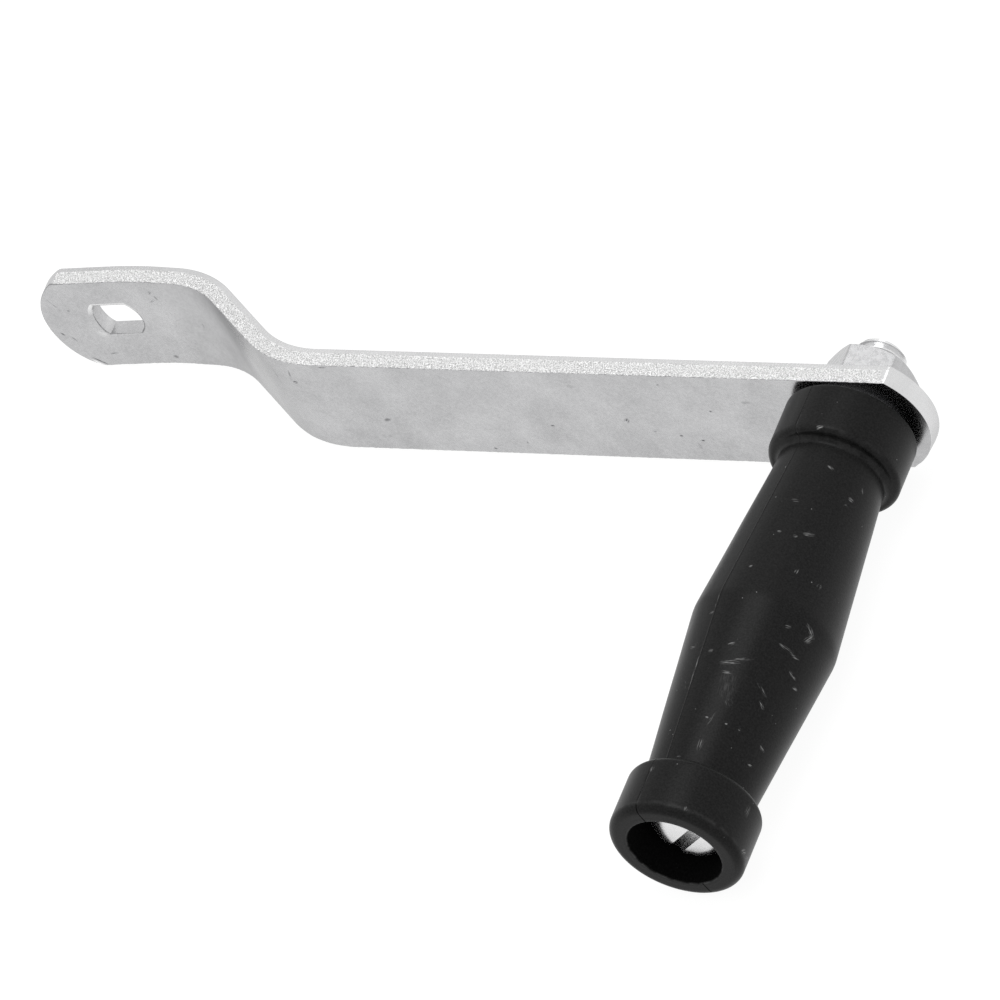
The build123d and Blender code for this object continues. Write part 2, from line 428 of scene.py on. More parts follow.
def zinc_sheet():
    """Bright zinc plate on rolled strip: grey, half gloss, finely speckled,
    with dents and dark specks on the front, a dark line at each arris, the cut
    wall faces painted lighter as painted sheen, and painted highlights on the
    hole's rolled rim, at the hub's lower corner and on a dent."""
    material, tree, output = new_material("zinc plated sheet steel")
    place = add(tree, "ShaderNodeAttribute", attribute_name="blank").outputs["Vector"]
    along, backward, up = add(tree, "ShaderNodeSeparateXYZ", {0: place}).outputs
    depth = add(tree, "ShaderNodeMath", {0: backward, 1: -1.0}, operation="MULTIPLY").outputs[0]
    face = add(tree, "ShaderNodeCombineXYZ", {"X": along, "Y": up}).outputs[0]
    from_hole = add(tree, "ShaderNodeVectorMath", {0: face}, operation="LENGTH").outputs["Value"]
    tests = (
        (depth, "GREATER_THAN", thickness - 0.03),
        (depth, "LESS_THAN", thickness - 0.01),
        (depth, "GREATER_THAN", 0.03),
        (along, "LESS_THAN", -9.0),
        (along, "LESS_THAN", axle_run + 9.0),
        (from_hole, "GREATER_THAN", hole_radius + 1.4),
    )
    on_front, off_front, off_back, at_hub, off_grip_end, off_hole = (
        add(tree, "ShaderNodeMath", {0: reading, 1: limit}, operation=test).outputs[0]
        for reading, test, limit in tests
    )

    # clouds 11 mm across, and crystals drawn 0.6 mm across so that they show
    cloud = add(
        tree, "ShaderNodeTexNoise", {"Vector": place, "Scale": 0.09, "Detail": 5, "Roughness": 0.6}
    ).outputs[0]
    speckle = add(
        tree, "ShaderNodeTexNoise", {"Vector": place, "Scale": 1.7, "Detail": 2, "Roughness": 0.8}
    ).outputs[0]
    tone = add(tree, "ShaderNodeMath", {0: cloud, 1: speckle}, operation="ADD").outputs[0]
    tone = add(tree, "ShaderNodeMapRange", {0: tone, 1: 0.7, 2: 1.3}).outputs[0]
    colour = add(
        tree,
        "ShaderNodeMix",
        {0: tone, 6: linear("#b0b0b1"), 7: linear("#cacacb")},
        data_type="RGBA",
    ).outputs[2]

    # painted sheen: the cut wall faces are painted lighter, the more so towards
    # the grip, and the upper side of the hole's rolled rim gets a painted highlight
    painted_wall_sheen = add(
        tree, "ShaderNodeMapRange", {0: along, 1: 0.0, 2: 60.0, 3: 0.17, 4: 0.44}
    ).outputs[0]
    rolled = add(
        tree,
        "ShaderNodeMapRange",
        {0: depth, 1: thickness - 0.8, 2: thickness - 0.5, 3: 0.0, 4: 0.8},
    ).outputs[0]
    upper = add(tree, "ShaderNodeMapRange", {0: up, 1: 2.0, 2: 5.0}).outputs[0]
    rolled = add(tree, "ShaderNodeMath", {0: rolled, 1: upper}, operation="MULTIPLY").outputs[0]
    rolled = add(tree, "ShaderNodeMapRange", {0: off_hole, 3: rolled, 4: 0.0}).outputs[0]
    painted_wall_sheen = add(tree, "ShaderNodeMath", {0: painted_wall_sheen, 1: off_hole}, operation="MULTIPLY").outputs[0]
    painted_wall_sheen = add(tree, "ShaderNodeMath", {0: painted_wall_sheen, 1: rolled}, operation="MAXIMUM").outputs[0]
    for mask in (off_front, off_back):
        painted_wall_sheen = add(tree, "ShaderNodeMath", {0: painted_wall_sheen, 1: mask}, operation="MULTIPLY").outputs[0]

    # the dark arris: unbroken and wider round the hub's end, ragged after it,
    # and none at the hole or round the grip's end
    arris_edge = thickness - front_rim
    ragged = add(tree, "ShaderNodeMapRange", {0: speckle, 1: 0.35, 2: 0.6}).outputs[0]
    ragged = add(tree, "ShaderNodeMath", {0: ragged, 1: at_hub}, operation="MAXIMUM").outputs[0]
    reach = add(
        tree, "ShaderNodeMapRange", {0: at_hub, 3: arris_edge - 0.1, 4: arris_edge - 0.4}
    ).outputs[0]
    arris = add(
        tree, "ShaderNodeMapRange", {0: depth, 1: reach, 2: arris_edge, 3: 0.0, 4: 0.7}
    ).outputs[0]
    for mask in (ragged, off_front, off_grip_end, off_hole):
        arris = add(tree, "ShaderNodeMath", {0: arris, 1: mask}, operation="MULTIPLY").outputs[0]

    # specks and dents: where along and up the flat blank, in millimetres from
    # the hole's centre, and what else marks_on asks for
    specks = (
        (14.2, 10.0, 0.9, 0.5, 60, 0.6),
        (15.2, 8.2, 1.0, 0.4, 110, 0.6),
        (13.6, 7.0, 1.2, 0.4, 30, 0.6),
        (-5.6, -11.4, 1.3, 0.45, 5, 0.9),
        (10.8, -13.2, 1.0, 0.7, 0, 0.8),
        (25.0, -0.8, 1.1, 0.5, 80, 0.5),
        (-16.2, -3.8, 0.8, 0.4, 120, 0.8),
        (-14.0, -5.8, 1.2, 0.4, 120, 0.7),
        (-11.0, 4.2, 0.5, 0.4, 0, 0.8),
        (-14.0, 6.5, 3.4, 0.25, 115, 0.5),
        (-10.5, -13.9, 2.6, 0.3, -41, 1.0),
        (69.4, 9.0, 2.4, 0.35, 80, 0.6),
        (69.8, 6.6, 0.9, 0.6, 30, 1.0),
        (64.5, 6.5, 4.0, 0.3, 95, 0.35),
        (88.7, -5.0, 1.4, 0.7, 20, 0.7),
        (86.0, -11.0, 1.8, 0.8, 0, 0.35),
        (79.0, 13.1, 1.4, 0.3, 0, 0.9),
        (113.8, -14.0, 0.6, 0.4, 0, 0.9),
        (123.3, -11.5, 0.5, 0.4, 90, 0.6),
        (153.0, -2.4, 1.1, 0.8, 60, 1.0),
        (132.5, -5.2, 0.7, 0.5, 0, 1.0),
        (158.8, -5.8, 0.7, 0.5, 0, 0.5),
        (165.2, -7.2, 0.6, 0.45, 0, 1.0),
        (170.2, -8.6, 0.6, 0.4, 0, 1.0),
        (168.5, -10.5, 1.4, 0.8, 100, 0.4),
        (166.3, 10.6, 0.6, 0.5, 20, 0.9),
        (176.3, 1.9, 0.5, 0.4, 0, 1.0),
        (179.1, 5.0, 0.7, 0.5, 70, 0.5),
        (186.7, 5.4, 1.5, 0.7, 0, 0.4),
        (143.0, 9.0, 1.2, 0.8, 0, 0.3),
    )
    marked = marks_on(tree, face, specks, faint=0.38, full=0.52)
    marked = add(tree, "ShaderNodeMath", {0: marked, 1: on_front}, operation="MULTIPLY").outputs[0]
    marked = add(tree, "ShaderNodeMath", {0: marked, 1: arris}, operation="MAXIMUM").outputs[0]

    # painted highlights: a burr at the hub's lower corner and a dent, painted near-white where
    # they catch the light
    painted_glints = (
        (-11.1, -14.6, 2.7, 0.45, -41, 1.0),
        (-5.6, -4.3, 2.0, 1.2, -45, 0.25),
    )
    painted_glint = marks_on(tree, face, painted_glints, faint=0.3, full=0.5)
    # the painted sheen and painted highlights go in near-white, the specks and arris dark grey
    for share, code in ((painted_wall_sheen, "#f0f0f0"), (marked, "#5c5c5f"), (painted_glint, "#fcfcfc")):
        colour = add(
            tree, "ShaderNodeMix", {0: share, 6: colour, 7: linear(code)}, data_type="RGBA"
        ).outputs[2]

    # the die has dulled the plate a little over the bend by the hub
    middle = (bend_1_start + bend_1_end) / 2
    off_bend = add(tree, "ShaderNodeMath", {0: along, 1: middle}, operation="SUBTRACT").outputs[0]
    off_bend = add(tree, "ShaderNodeMath", {0: off_bend}, operation="ABSOLUTE").outputs[0]
    dulled = add(
        tree, "ShaderNodeMapRange", {0: off_bend, 1: 8.0, 2: 16.0, 3: 0.1, 4: 0.0}
    ).outputs[0]
    gloss = add(
        tree, "ShaderNodeMapRange", {0: speckle, 1: 0.3, 2: 0.7, 3: 0.22, 4: 0.3}
    ).outputs[0]
    gloss = add(tree, "ShaderNodeMath", {0: gloss, 1: dulled}, operation="ADD").outputs[0]
    bump = add(
        tree, "ShaderNodeBump", {"Height": speckle, "Strength": 0.04, "Distance": 0.1 * mm}
    ).outputs[0]
    steel = add(
        tree,
        "ShaderNodeBsdfPrincipled",
        {
            "Base Color": colour,
            "Specular Tint": linear("#e2e2e2"),
            "Metallic": 1.0,
            "Roughness": gloss,
            "Normal": bump,
        },
    )
    tree.links.new(steel.outputs[0], output.inputs[0])
    return material


def zinc_torn_edge():
    """Zinc plate over torn steel: the same metal, coarse and sparkling, some
    of its facets dull and some bright, each about 0.3 mm across."""
    material, tree, output = new_material("zinc plated torn edge")
    place = add(tree, "ShaderNodeAttribute", attribute_name="blank").outputs["Vector"]
    facets = add(
        tree, "ShaderNodeTexNoise", {"Vector": place, "Scale": 3.3, "Detail": 2, "Roughness": 0.8}
    ).outputs[0]
    tone = add(tree, "ShaderNodeMapRange", {0: facets, 1: 0.4, 2: 0.6}).outputs[0]
    colour = add(
        tree,
        "ShaderNodeMix",
        {0: tone, 6: linear("#acacac"), 7: linear("#f2f2f2")},
        data_type="RGBA",
    ).outputs[2]
    bump = add(
        tree, "ShaderNodeBump", {"Height": facets, "Strength": 0.8, "Distance": 0.3 * mm}
    ).outputs[0]
    steel = add(
        tree,
        "ShaderNodeBsdfPrincipled",
        {"Base Color": colour, "Metallic": 1.0, "Roughness": 0.38, "Normal": bump},
    )
    tree.links.new(steel.outputs[0], output.inputs[0])
    return material


arm_finishes = [zinc_sheet(), zinc_torn_edge()]
finish("crank_arm", blank, arm_finishes, "crank", "arm")


# ------------------------------------------- thrust washer
# A flat washer stamped from steel strip and zinc plated, clamped between the
# screw's shoulder and the arm.  The CAD node is shown as it is.
def zinc_hardware(name, dull, bright):
    """Zinc plate on small stamped, headed or forged steel: even, half gloss,
    with soft clouds a millimetre or so across."""
    material, tree, output = new_material(name)
    place = add(tree, "ShaderNodeTexCoord").outputs["Object"]
    cloud = add(
        tree,
        "ShaderNodeTexNoise",
        {"Vector": place, "Scale": 0.9 / mm, "Detail": 4, "Roughness": 0.6},
    ).outputs[0]
    gloss = add(
        tree, "ShaderNodeMapRange", {0: cloud, 1: 0.3, 2: 0.7, 3: 0.22, 4: 0.32}
    ).outputs[0]
    tone = add(tree, "ShaderNodeMapRange", {0: cloud, 1: 0.35, 2: 0.65}).outputs[0]
    colour = add(
        tree, "ShaderNodeMix", {0: tone, 6: linear(dull), 7: linear(bright)}, data_type="RGBA"
    ).outputs[2]
    bump = add(
        tree, "ShaderNodeBump", {"Height": cloud, "Strength": 0.02, "Distance": 0.1 * mm}
    ).outputs[0]
    steel = add(
        tree,
        "ShaderNodeBsdfPrincipled",
        {"Base Color": colour, "Metallic": 1.0, "Roughness": gloss, "Normal": bump},
    )
    tree.links.new(steel.outputs[0], output.inputs[0])
    return material


washer_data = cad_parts["thrust_washer"].data
washer_data.materials.clear()
# its zinc is painted dark: painted shade for the narrow gap between the grip and the arm, where it
# shows mirrored in the arm's face
washer_data.materials.append(zinc_hardware("zinc plated strip painted dark for shade", "#6a6a6c", "#7c7c7e"))


# ---------------------------------------------- axle screw
# A cold-headed M12 shoulder screw, zinc plated.  The grip turns on its
# shoulder, and its rolled thread runs through the washer and arm to the nut.
screw_low, screw_high = (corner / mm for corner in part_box("axle_screw"))
head_top, screw_end = screw_low.y, screw_high.y + 0.5
axle = Vector((centre_distance, 0, 0))
head_radius = 9.0
head_height = 6.5
head_edge = 4.2  # the rounding of its top edge
head_strike = Vector((2.0, 0, 0.05))  # the top face was struck off centre
shoulder_radius = 7.0
slot_width = 3.1
slot_depth = 2.8
slot_angle = math.radians(40.5)
slot_offset = 1.3
slot_reach = 30.0  # the cutter is longer than the head is wide
thread_radius = 5.95
thread_root = 4.93
pitch = 1.75
end_chamfer = 0.95


def half_outline(mesh, places):
    """The vertices of an open outline through places of a radius and y."""
    outline = [mesh.verts.new(axle + Vector((radius, y, 0))) for radius, y in places]
    for first, second in zip(outline, outline[1:]):
        mesh.edges.new((first, second))
    return outline


def round_off(mesh, vert, rounding, steps):
    """Rounds one corner of an outline."""
    bmesh.ops.bevel(
        mesh,
        geom=[vert],
        offset=rounding,
        affect="VERTICES",
        segments=steps,
        profile=0.5,
        material=-1,
    )


def half_section(mesh, corners):
    """A half outline from each corner's radius, y, rounding and steps."""
    outline = half_outline(mesh, [corner[:2] for corner in corners])
    for vert, (*_, rounding, steps) in zip(outline, corners):
        if rounding:
            round_off(mesh, vert, rounding, steps)


def turn(mesh, steps):
    """Spins a half section once round the axle and closes it."""
    geom = mesh.verts[:] + mesh.edges[:]
    bmesh.ops.spin(
        mesh, geom=geom, cent=axle, axis=(0, -1, 0), angle=2 * math.pi, steps=steps, use_merge=True
    )
    bmesh.ops.remove_doubles(mesh, verts=mesh.verts, dist=0.001)
    bmesh.ops.recalc_face_normals(mesh, faces=mesh.faces)


# this plate is painted lighter than the nut's, to lift the screw's head out of the recess's shade:
# painted light
hardware_zinc = zinc_hardware("zinc plated steel painted lighter for the recess", "#dcdcdd", "#e6e6e6")
screw = bmesh.new()
half_section(
    screw,
    (
        (0, head_top, 0, 0),
        (head_radius, head_top, head_edge, 12),
        (head_radius, head_top + head_height, 0.3, 2),
        (shoulder_radius, head_top + head_height, 0, 0),
        (shoulder_radius, washer_low.y, 0.3, 2),
        (thread_root, washer_low.y, 0, 0),
        (thread_root, arm_back, 0, 0),
        (0, arm_back, 0, 0),
    ),
)
turn(screw, steps=96)
for vert in screw.verts:
    struck = (head_top + head_edge - vert.co.y) / head_edge
    if struck > 0:
        vert.co += head_strike * struck

slot = bmesh.new()
bmesh.ops.create_cube(slot, size=1)
bmesh.ops.scale(slot, vec=(slot_reach, 2 * slot_depth, slot_width), verts=slot.verts)
bmesh.ops.translate(slot, vec=(0, 0, -slot_offset), verts=slot.verts)
bmesh.ops.rotate(slot, verts=slot.verts, matrix=Matrix.Rotation(-slot_angle, 3, "Y"))
bmesh.ops.translate(slot, vec=axle + Vector((0, head_top, 0)), verts=slot.verts)


def cut_out(mesh, cutter):
    """Takes one closed bmesh out of another."""
    solids = []
    for shape in (mesh, cutter):
        data = bpy.data.meshes.new("blank")
        shape.to_mesh(data)
        shape.free()
        solids.append(bpy.data.objects.new("blank", data))
        bpy.context.scene.collection.objects.link(solids[-1])
    boolean = solids[0].modifiers.new("cut", "BOOLEAN")
    boolean.object = solids[1]
    boolean.solver = "EXACT"
    shaped = bmesh.new()
    shaped.from_mesh(solids[0].evaluated_get(bpy.context.evaluated_depsgraph_get()).data)
    for solid in solids:
        bpy.data.objects.remove(solid)
    return shaped


screw = cut_out(screw, slot)

# the thread: one turn's profile, along the axle in shares of the pitch, is
# carried round and along, then trimmed
ridge = bmesh.new()
thread_start = arm_back + 1
turn_steps = 72
profile = (
    (thread_root, 0.0),
    (thread_root, 0.19),
    (thread_radius, 0.53),
    (thread_radius, 0.66),
    (thread_root, 1.0),
)
half_outline(ridge, [(radius, thread_start + share * pitch) for radius, share in profile])
bmesh.ops.subdivide_edges(ridge, edges=ridge.edges, cuts=2)
turns = math.ceil((screw_end - thread_start) / pitch) + 1
bmesh.ops.spin(
    ridge,
    geom=ridge.verts[:] + ridge.edges[:],
    cent=axle,
    axis=(0, 1, 0),
    dvec=(0, pitch / turn_steps, 0),
    angle=2 * math.pi * turns,
    steps=turn_steps * turns,
)
bmesh.ops.remove_doubles(ridge, verts=ridge.verts, dist=0.002)
for vert in ridge.verts:
    out = Vector((vert.co.x - axle.x, 0, vert.co.z))
    limit = thread_radius - max(0, vert.co.y - (screw_end - end_chamfer))
    if out.length > limit:
        vert.co -= out * (1 - limit / out.length)
for level, side in ((screw_end, 1), (thread_start + pitch, -1)):
    bmesh.ops.bisect_plane(
        ridge,
        geom=ridge.verts[:] + ridge.edges[:] + ridge.faces[:],
        plane_co=(0, level, 0),
        plane_no=(0, side, 0),
        clear_outer=True,
    )
    open_edges = [edge for edge in ridge.edges if edge.is_boundary]
    at_level = [edge for edge in open_edges if abs(edge.verts[0].co.y - level) < 0.01]
    bmesh.ops.edgeloop_fill(ridge, edges=at_level)
bmesh.ops.recalc_face_normals(ridge, faces=ridge.faces)
thread = bpy.data.meshes.new("thread")
ridge.to_mesh(thread)
ridge.free()
screw.from_mesh(thread)
bpy.data.meshes.remove(thread)
finish("shoulder_screw", screw, [hardware_zinc], "crank", "axle_screw")


# ------------------------------------------------ axle nut
# An M12 hexagon nut, cold forged and zinc plated, its corners turned off to a
# 30 degree chamfer.  It clamps the screw to the back of the arm.
nut_low, nut_high = (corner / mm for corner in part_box("axle_nut"))
half_flats = 9.5
chamfer_turn = math.pi / 6
nut_face_radius = 0.93 * half_flats
corner_round = 0.35
nut_bore = thread_root + 0.1
nut_mouth = thread_radius + 0.45
mouth_depth = 1.2
nut_points = [vert.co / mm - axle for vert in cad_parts["axle_nut"].data.vertices]
nut_corner = max(nut_points, key=lambda point: math.hypot(point.x, point.z))
corner_angle = math.pi / 6 - math.atan2(nut_corner.z, nut_corner.x)
nut = bmesh.new()
bmesh.ops.create_circle(nut, segments=6, radius=half_flats / math.cos(math.pi / 6))
bmesh.ops.rotate(nut, verts=nut.verts, matrix=Matrix.Rotation(math.pi / 2, 3, "X"))
for vert in nut.verts[:]:
    round_off(nut, vert, corner_round, steps=4)
flats = [edge for edge in nut.edges if edge.calc_length() > 2]
bmesh.ops.subdivide_edges(nut, edges=flats, cuts=14)
bmesh.ops.rotate(nut, verts=nut.verts, matrix=Matrix.Rotation(corner_angle, 3, "Y"))
bmesh.ops.translate(nut, verts=nut.verts, vec=axle + Vector((0, nut_low.y, 0)))


def nut_level(verts, radius, y, chamfer):
    """Puts a ring of the nut at its radius or, with none, on the hexagon.
    Chamfer is 1 at the front face, -1 at the back and 0 for no chamfer."""
    for vert in verts:
        out = Vector((vert.co.x - axle.x, 0, vert.co.z))
        if radius:
            out *= radius / out.length
        fall = max(0, out.length - nut_face_radius) * math.tan(chamfer_turn) * chamfer
        vert.co = axle + out + Vector((0, y + fall, 0))


nut_level(nut.verts, 0, nut_low.y, chamfer=1)
rim = list(nut.edges)
rings = (
    (0, nut_high.y, -1),
    (nut_face_radius, nut_high.y, 0),
    (nut_mouth, nut_high.y, 0),
    (nut_bore, nut_high.y - mouth_depth, 0),
    (nut_bore, nut_low.y + mouth_depth, 0),
    (nut_mouth, nut_low.y, 0),
    (nut_face_radius, nut_low.y, 0),
)
for radius, y, chamfer in rings:
    verts, rim = extruded(nut, rim)
    nut_level(verts, radius, y, chamfer)
bmesh.ops.bridge_loops(nut, edges=[edge for edge in nut.edges if edge.is_boundary])
bmesh.ops.recalc_face_normals(nut, faces=nut.faces)
nut_zinc = zinc_hardware("zinc plated forged steel", "#b2b2b3", "#bcbcbd")
finish(
    "hexagon_nut", nut, [nut_zinc], "crank", "axle_nut", sharp_angle=22
)


# ---------------------------------------------------- grip
# Black polypropylene moulded in two halves: a collar at each end, a double
# cone between them, and a recess for the screw's head.  The halves meet in a
# fine line along each side, and the skin is scuffed from handling.
grip_low, grip_high = (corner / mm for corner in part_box("grip"))
collar_radius = 15.55
neck_radius = 12.35
middle_radius = 16.75
bore_radius = 7.075
recess_radius = 10.8
recess_depth = 10.75
inner_collar = 12.9
outer_collar = 14.6
parting_angle = math.radians(104.7)
parting_bevel = 0.14
parting_rise = {"end face": -0.4, "collar": -0.08, "cone": 0.06}
sink = 0.03  # the moulding sank unevenly as it cooled, by 0 to twice this,
sink_width = 9.0  # in shallow hollows this wide
inner_end, outer_end = grip_high.y, grip_low.y
middle_y = (inner_end + outer_end) / 2
sections = (
    (bore_radius, inner_end, 0.3, 3),
    (collar_radius, inner_end, 0.35, 4),
    (collar_radius, inner_end - inner_collar, 1.5, 10),
    (neck_radius, inner_end - inner_collar, 1.6, 10),
    (middle_radius, middle_y, 1.2, 6),
    (neck_radius, outer_end + outer_collar, 1.6, 10),
    (collar_radius, outer_end + outer_collar, 1.5, 10),
    (collar_radius, outer_end, 2.1, 12),
    (recess_radius, outer_end, 0.35, 4),
    (recess_radius, outer_end + recess_depth, 0.4, 3),
    (bore_radius, outer_end + recess_depth, 0.2, 2),
    (bore_radius, inner_end - 1, 0, 0),
)
grip = bmesh.new()
half_section(grip, sections)
grip.edges.new([vert for vert in grip.verts if len(vert.link_edges) == 1])


def long_edges(mesh):
    """The edges of the skin's half section that are over 1.5 mm long."""
    skin = recess_radius - 0.1
    return [
        edge for edge in mesh.edges
        if edge.calc_length() > 1.5 and edge.verts[0].co.x - axle.x > skin
    ]


while uncut := long_edges(grip)[:1]:
    cuts = math.ceil(uncut[0].calc_length()) - 1
    bmesh.ops.subdivide_edges(grip, edges=uncut, cuts=cuts)
to_parting = Matrix.Rotation(-parting_angle, 3, "Y")
bmesh.ops.rotate(grip, verts=grip.verts, cent=axle, matrix=to_parting)
turn(grip, steps=192)
parting_normal = Vector((-math.sin(parting_angle), 0, math.cos(parting_angle)))


def on_parting(vert):
    """Whether a point of the skin lies where the mould's halves met."""
    out = Vector((vert.co.x - axle.x, 0, vert.co.z))
    return abs(out.dot(parting_normal)) < 0.0005 and out.length > recess_radius + 0.05


seam = [edge for edge in grip.edges if all(on_parting(vert) for vert in edge.verts)]
bmesh.ops.bevel(
    grip, geom=seam, offset=parting_bevel, affect="EDGES", segments=2, profile=0.5, material=-1
)
grip.normal_update()
for vert in filter(on_parting, grip.verts):
    if vert.co.y < outer_end + 1.5:
        where = "end face"
    elif vert.co.y > inner_end - inner_collar - 1 or vert.co.y < outer_end + outer_collar:
        where = "collar"
    else:
        where = "cone"
    unevenness = 1 + 0.5 * noise.noise(vert.co / 2.5)
    vert.co += vert.normal * parting_rise[where] * unevenness
for vert in grip.verts:
    if math.hypot(vert.co.x - axle.x, vert.co.z) > recess_radius + 0.5:
        vert.co -= vert.normal * (sink + sink * noise.noise(vert.co / sink_width))


def black_plastic():
    """Black polypropylene from a matt mould: satin, close to black, with a
    fine grain and pale scuffs where something hard has rubbed it, painted
    highlight lines at the collars' edges, and painted shade in the recess and
    on the inner face."""
    material, tree, output = new_material("black moulded polypropylene")
    # the skin unrolled, in millimetres: round the grip, as on a cylinder of
    # 15 mm, and along it from the arm's front face, then in over the end face
    unrolled_radius = 15.0
    inner_station = arm_front - inner_end
    outer_station = arm_front - outer_end
    place = add(tree, "ShaderNodeTexCoord").outputs["Object"]
    centred = add(
        tree, "ShaderNodeMapping", {"Vector": place, "Location": (-axle.x * mm, 0, 0)}
    ).outputs[0]
    x, y, z = add(tree, "ShaderNodeSeparateXYZ", {0: centred}).outputs
    angle = add(tree, "ShaderNodeMath", {0: z, 1: x}, operation="ARCTAN2").outputs[0]
    arc = add(
        tree, "ShaderNodeMath", {0: angle, 1: unrolled_radius}, operation="MULTIPLY"
    ).outputs[0]
    station = add(
        tree, "ShaderNodeMath", {0: y, 1: -1 / mm, 2: arm_front}, operation="MULTIPLY_ADD"
    ).outputs[0]
    out = add(tree, "ShaderNodeCombineXYZ", {"X": x, "Y": z}).outputs[0]
    radius = add(tree, "ShaderNodeVectorMath", {0: out}, operation="LENGTH").outputs["Value"]
    radius = add(tree, "ShaderNodeMath", {0: radius, 1: 1 / mm}, operation="MULTIPLY").outputs[0]
    on_end, on_outside, off_inner_face = (
        add(tree, "ShaderNodeMath", {0: reading, 1: limit}, operation="GREATER_THAN").outputs[0]
        for reading, limit in (
            (station, outer_station - 0.3),
            (radius, recess_radius + 0.5),
            (station, inner_station + 0.1),
        )
    )
    inward = add(
        tree, "ShaderNodeMath", {0: collar_radius, 1: radius}, operation="SUBTRACT"
    ).outputs[0]
    run = add(
        tree, "ShaderNodeMath", {0: on_end, 1: inward, 2: station}, operation="MULTIPLY_ADD"
    ).outputs[0]
    skin = add(tree, "ShaderNodeCombineXYZ", {"X": arc, "Y": run}).outputs[0]

    # scuffs: where round and along the grip, and what else marks_on asks for
    scuffs = (
        (6.2, 64.6, 1.9, 0.8, 150, 0.7),
        (5.6, 66.4, 1.9, 0.9, 60, 0.7),
        (11.0, 67.0, 0.8, 0.5, 20, 0.7),
        (9.2, 71.8, 2.3, 0.45, 176, 1.0),
        (6.8, 72.2, 1.4, 0.4, 10, 0.8),
        (5.4, 76.1, 1.5, 0.5, 165, 1.0),
        (3.2, 78.1, 1.0, 0.5, 10, 0.7),
        (30.8, 75.7, 1.2, 0.9, 160, 0.4),
        (10.4, 83.6, 2.2, 0.4, 150, 0.6),
        (9.2, 86.7, 1.4, 0.5, 145, 1.0),
        (20.7, 75.6, 0.9, 0.5, 30, 0.8),
        (17.2, 78.6, 2.6, 0.4, 20, 0.8),
        (19.6, 80.2, 2.6, 0.7, 12, 0.7),
        (19.4, 82.7, 1.6, 0.5, 0, 0.6),
        (18.2, 86.0, 5.0, 2.6, 100, 0.1),
        (16.4, 89.6, 1.1, 0.9, 130, 0.7),
        (18.9, 94.6, 2.2, 0.35, 75, 0.5),
        (20.1, 94.6, 0.5, 0.4, 0, 0.9),
        (15.1, 94.6, 0.4, 0.4, 0, 0.9),
        (11.5, 94.6, 0.5, 0.4, 0, 0.9),
        (19.3, 101.3, 1.8, 1.0, 90, 0.4),
        (23.7, 105.0, 0.7, 0.4, 0, 0.8),
        (4.0, 95.0, 1.4, 0.45, 170, 1.0),
        (5.0, 100.1, 0.9, 0.35, 10, 0.9),
        (27.7, 82.5, 5.8, 0.22, 90, 0.9),
        (27.7, 64.5, 1.8, 0.2, 90, 0.7),
        (28.2, 67.6, 0.7, 0.4, 30, 0.6),
        (29.2, 86.2, 1.3, 0.3, 110, 0.5),
        (25.0, 77.8, 0.7, 0.5, 10, 0.9),
        (14.3, 42.1, 1.5, 0.7, 20, 0.9),
        (17.0, 44.0, 0.7, 0.5, 30, 0.8),
        (20.7, 43.7, 0.6, 0.4, 0, 0.9),
        (20.5, 34.2, 1.2, 0.7, 0, 0.3),
        (23.3, 54.7, 0.5, 0.4, 30, 0.9),
        (13.7, 53.0, 0.8, 0.5, 80, 0.7),
        (8.0, 53.4, 0.9, 0.6, 60, 0.8),
        (7.8, 27.7, 1.0, 0.6, 0, 0.8),
        (8.6, 30.0, 0.7, 0.4, 30, 0.6),
        (5.3, 23.4, 0.9, 0.5, 120, 0.5),
        (15.6, 22.5, 1.2, 0.5, 160, 0.8),
        (21.3, 14.2, 0.9, 0.6, 20, 1.0),
        (27.0, 110.6, 0.9, 0.6, 90, 0.7),
        (2.7, 111.3, 1.8, 1.0, 90, 0.35),
        (-1.6, 119.0, 1.4, 0.8, 30, 0.9),
        (-4.2, 118.6, 1.5, 0.5, 25, 1.0),
        (16.0, 119.6, 0.7, 0.5, 90, 0.8),
        (-21.0, 62.0, 5.0, 1.6, 20, 0.6),
        (-30.0, 84.0, 4.0, 1.2, 140, 0.6),
        (38.0, 70.0, 4.5, 1.4, 30, 0.6),
    )
    wear = marks_on(tree, skin, scuffs, faint=0.44, full=0.68)

    # single ticks and dust, a quarter of a millimetre across, in three of ten
    # cells of 2 mm
    cells = add(tree, "ShaderNodeTexVoronoi", {"Vector": skin, "Scale": 0.5}).outputs
    tick = add(
        tree, "ShaderNodeMapRange", {0: cells["Distance"], 1: 0.03, 2: 0.09, 3: 1.0, 4: 0.0}
    ).outputs[0]
    chance = add(tree, "ShaderNodeSeparateColor", {0: cells["Color"]}).outputs
    ticked = add(
        tree, "ShaderNodeMath", {0: chance[0], 1: 0.7}, operation="GREATER_THAN"
    ).outputs[0]
    for mask in (ticked, on_outside, chance[1]):
        tick = add(tree, "ShaderNodeMath", {0: tick, 1: mask}, operation="MULTIPLY").outputs[0]
    wear = add(tree, "ShaderNodeMath", {0: wear, 1: tick}, operation="MAXIMUM").outputs[0]
